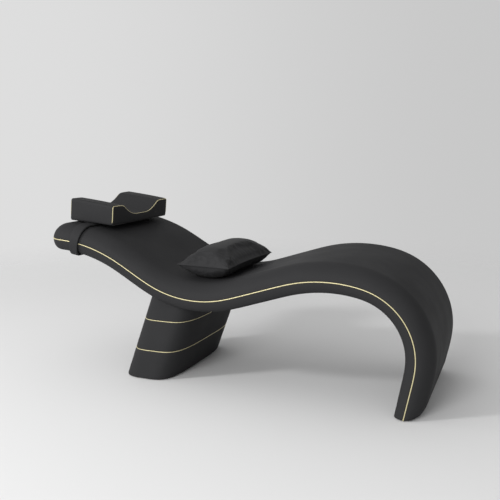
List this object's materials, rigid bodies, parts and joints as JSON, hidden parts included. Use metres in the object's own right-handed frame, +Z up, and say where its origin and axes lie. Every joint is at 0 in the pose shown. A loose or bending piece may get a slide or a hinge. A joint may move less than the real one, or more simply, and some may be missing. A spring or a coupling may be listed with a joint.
{
  "type": "curved lash bed",
  "caption": "Curved upholstered lash bed in black leather with gold piping, on a rounded foot and a leaning pedestal, with a strapped cradle headrest and a loose seat cushion.",
  "frame": {"origin": "On the floor, under the middle of the bed's length and width", "axes": "+X from the head to the foot, +Y to the far side as pictured, +Z up"},
  "size_m": [1.839, 0.7762, 0.8464],
  "materials": {
    "black_leather": "smooth synthetic leather with a soft sheen",
    "gold_piping": "pale gold synthetic leather over cord",
    "black_fabric": "matt woven cover",
    "foam": "open-cell upholstery foam",
    "cushion_fill": "loose fibre filling",
    "plywood": "bare birch plywood",
    "frame_steel": "powder-coated steel",
    "rubber": "moulded rubber",
    "zip_tape": "woven polyester tape",
    "zip_metal": "plated slider"
  },
  "bodies": {
    "bed": {"cover_top": "black_leather", "cover_under": "black_leather", "side_piping": "gold_piping", "foam_top": "foam", "under_pad": "foam", "edge_roll_near": "foam", "edge_roll_far": "foam", "nose_pad": "foam", "deck_board": "plywood", "frame_rail_near": "frame_steel", "frame_rail_far": "frame_steel", "cross_tube_1": "frame_steel", "cross_tube_2": "frame_steel", "cross_tube_3": "frame_steel", "cross_tube_4": "frame_steel", "cross_tube_5": "frame_steel", "cross_tube_6": "frame_steel", "cross_tube_7": "frame_steel", "cross_tube_8": "frame_steel", "foot_board": "plywood", "foot_glide_near": "rubber", "foot_glide_far": "rubber", "band_lower": "black_leather", "band_middle": "black_leather", "band_upper": "black_leather", "pedestal_piping_lower": "gold_piping", "pedestal_piping_upper": "gold_piping", "pedestal_core": "plywood", "pedestal_base": "plywood", "pedestal_glide_1": "rubber", "pedestal_glide_2": "rubber", "pedestal_glide_3": "rubber", "pedestal_glide_4": "rubber", "saddle_plate": "frame_steel", "bolt_1": "frame_steel", "bolt_2": "frame_steel", "bolt_3": "frame_steel", "bolt_4": "frame_steel", "nut_1": "frame_steel", "nut_2": "frame_steel", "nut_3": "frame_steel", "nut_4": "frame_steel"},
    "headrest": {"headrest_cover": "black_leather", "headrest_foam": "foam", "headrest_base": "plywood", "headrest_piping_front": "gold_piping", "headrest_piping_rear": "gold_piping", "headrest_strap": "black_leather", "strap_tab": "zip_tape", "headrest_zip": "zip_tape"},
    "zip_slider": {"zip_slider": "zip_metal"},
    "cushion": {"cushion_panel_upper": "black_fabric", "cushion_panel_lower": "black_fabric", "cushion_filling": "cushion_fill"}
  },
  "joints": [
    {"name": "headrest_slide", "type": "hinge", "parent": "bed", "child": "headrest", "pos_m": [-0.88217, 0, -0.09424], "axis": [0, 1, 0], "range_deg": [-1, 6]},
    {"name": "zip_slide", "type": "slide", "parent": "headrest", "child": "zip_slider", "axis": [0, 1, 0], "range_m": [-0.34, 0]},
    {"name": "cushion_lift", "type": "slide", "parent": "bed", "child": "cushion", "axis": [0, 0, 1], "range_m": [0, 0.25]}
  ]
}
